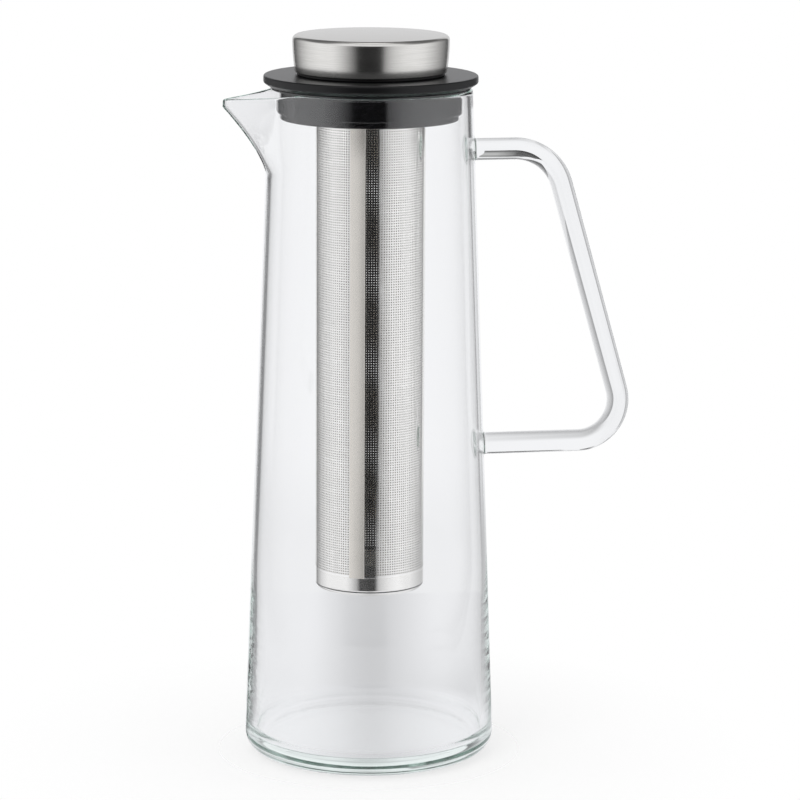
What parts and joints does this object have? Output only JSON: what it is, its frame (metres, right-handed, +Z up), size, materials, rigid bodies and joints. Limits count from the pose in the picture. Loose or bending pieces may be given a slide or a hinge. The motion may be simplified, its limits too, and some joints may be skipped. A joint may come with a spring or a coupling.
{
  "type": "fruit infuser pitcher",
  "caption": "Tapered clear glass pitcher with a pulled spout and a fused glass rod handle, a black flanged lid, a metal cap and a hanging fine-mesh metal infuser tube.",
  "frame": {"origin": "middle of the flat foot of the glass body, on the axis of the body", "axes": "+Z up along the axis of the body, +X from the spout towards the handle, +Y across"},
  "size_m": [0.1637, 0.0994, 0.2879],
  "materials": {
    "clear_glass": "clear polished borosilicate glass",
    "black_plastic": "satin black moulding",
    "grey_silicone": "matt dark grey silicone",
    "steel": "polished stainless steel",
    "etched_steel": "finely etched stainless sheet",
    "satin_steel": "satin brushed stainless steel"
  },
  "bodies": {
    "carafe": {"glass_body": "clear_glass", "glass_handle": "clear_glass"},
    "lid": {"lid_ring": "black_plastic", "neck_seal": "grey_silicone"},
    "infuser": {"infuser_collar": "steel", "infuser_mesh": "etched_steel", "infuser_base": "steel"},
    "cap": {"steel_cap": "satin_steel", "cap_core": "black_plastic", "cap_gasket": "grey_silicone"}
  },
  "joints": [
    {"name": "lid_lift", "type": "slide", "parent": "carafe", "child": "lid", "axis": [0, 0, 1], "range_m": [0, 0.21]},
    {"name": "infuser_lift", "type": "slide", "parent": "lid", "child": "infuser", "axis": [0, 0, 1], "range_m": [0, 0.21]},
    {"name": "cap_lift", "type": "slide", "parent": "infuser", "child": "cap", "axis": [0, 0, 1], "range_m": [0, 0.04]}
  ]
}
